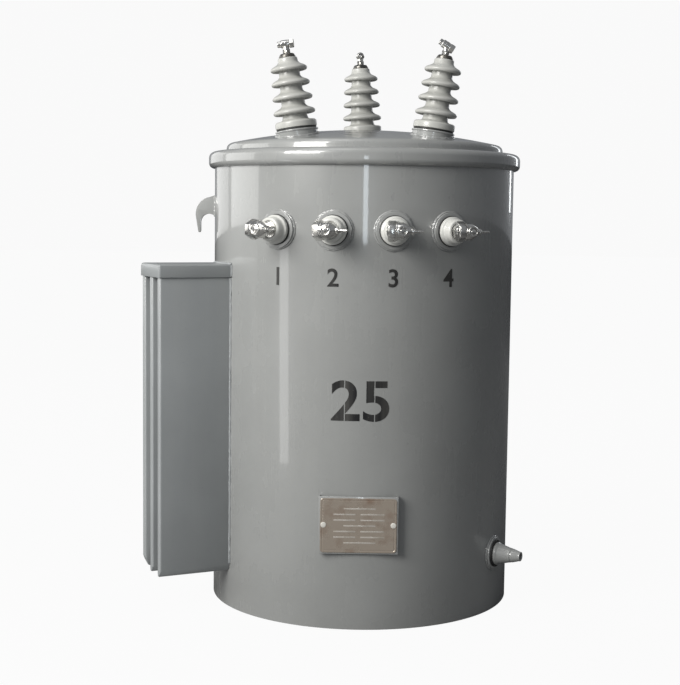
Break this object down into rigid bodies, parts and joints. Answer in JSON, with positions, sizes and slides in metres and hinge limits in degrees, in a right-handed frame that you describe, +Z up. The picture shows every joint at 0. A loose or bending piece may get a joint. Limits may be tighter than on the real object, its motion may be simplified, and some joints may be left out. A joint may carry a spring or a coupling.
{
  "type": "pole mounted transformer",
  "caption": "Round oil-filled distribution transformer for a pole, with porcelain bushings on the domed cover and round the front, a side radiator, a drain valve and rear hanging brackets.",
  "frame": {"origin": "centre of the tank's flat base, on the ring of the skirt that it stands on", "axes": "+Z up along the tank's axis, the front with the low-voltage bushings and the nameplate faces -Y, the pole brackets face +Y"},
  "size_m": [0.8117, 0.7857, 1.1982],
  "materials": {
    "tank_paint": "gloss",
    "radiator_paint": "satin",
    "porcelain": "gloss",
    "terminal_metal": "polished",
    "cap_metal": "satin",
    "plate_metal": "satin",
    "gasket": "matte"
  },
  "bodies": {
    "root": {"tank_wall": "tank_paint", "tank_floor": "tank_paint", "cover": "tank_paint", "cover_band": "tank_paint", "hv_boss_left": "tank_paint", "hv_boss_right": "tank_paint", "hv_boss_rear": "tank_paint", "hv_gaskets": "gasket", "hv_bushing_left": "porcelain", "hv_bushing_right": "porcelain", "hv_bushing_rear": "porcelain", "hv_cap_left": "cap_metal", "hv_cap_right": "cap_metal", "hv_cap_rear": "cap_metal", "hv_terminal_left": "terminal_metal", "hv_terminal_right": "terminal_metal", "hv_terminal_rear": "terminal_metal", "lv_boss_1": "tank_paint", "lv_boss_2": "tank_paint", "lv_boss_3": "tank_paint", "lv_boss_4": "tank_paint", "lv_gaskets": "gasket", "lv_bushing_1": "porcelain", "lv_bushing_2": "porcelain", "lv_bushing_3": "porcelain", "lv_bushing_4": "porcelain", "lv_terminal_1": "terminal_metal", "lv_terminal_2": "terminal_metal", "lv_terminal_3": "terminal_metal", "lv_terminal_4": "terminal_metal", "radiator_fin_front": "radiator_paint", "radiator_fin_middle": "radiator_paint", "radiator_fin_rear": "radiator_paint", "radiator_cap": "radiator_paint", "lifting_hook_left": "tank_paint", "lifting_hook_right": "tank_paint", "nameplate_holder": "tank_paint", "nameplate": "plate_metal", "drain_boss": "tank_paint", "drain_gasket": "gasket", "drain_valve": "tank_paint", "pole_bracket_upper": "tank_paint", "pole_bracket_lower": "tank_paint"}
  },
  "joints": []
}
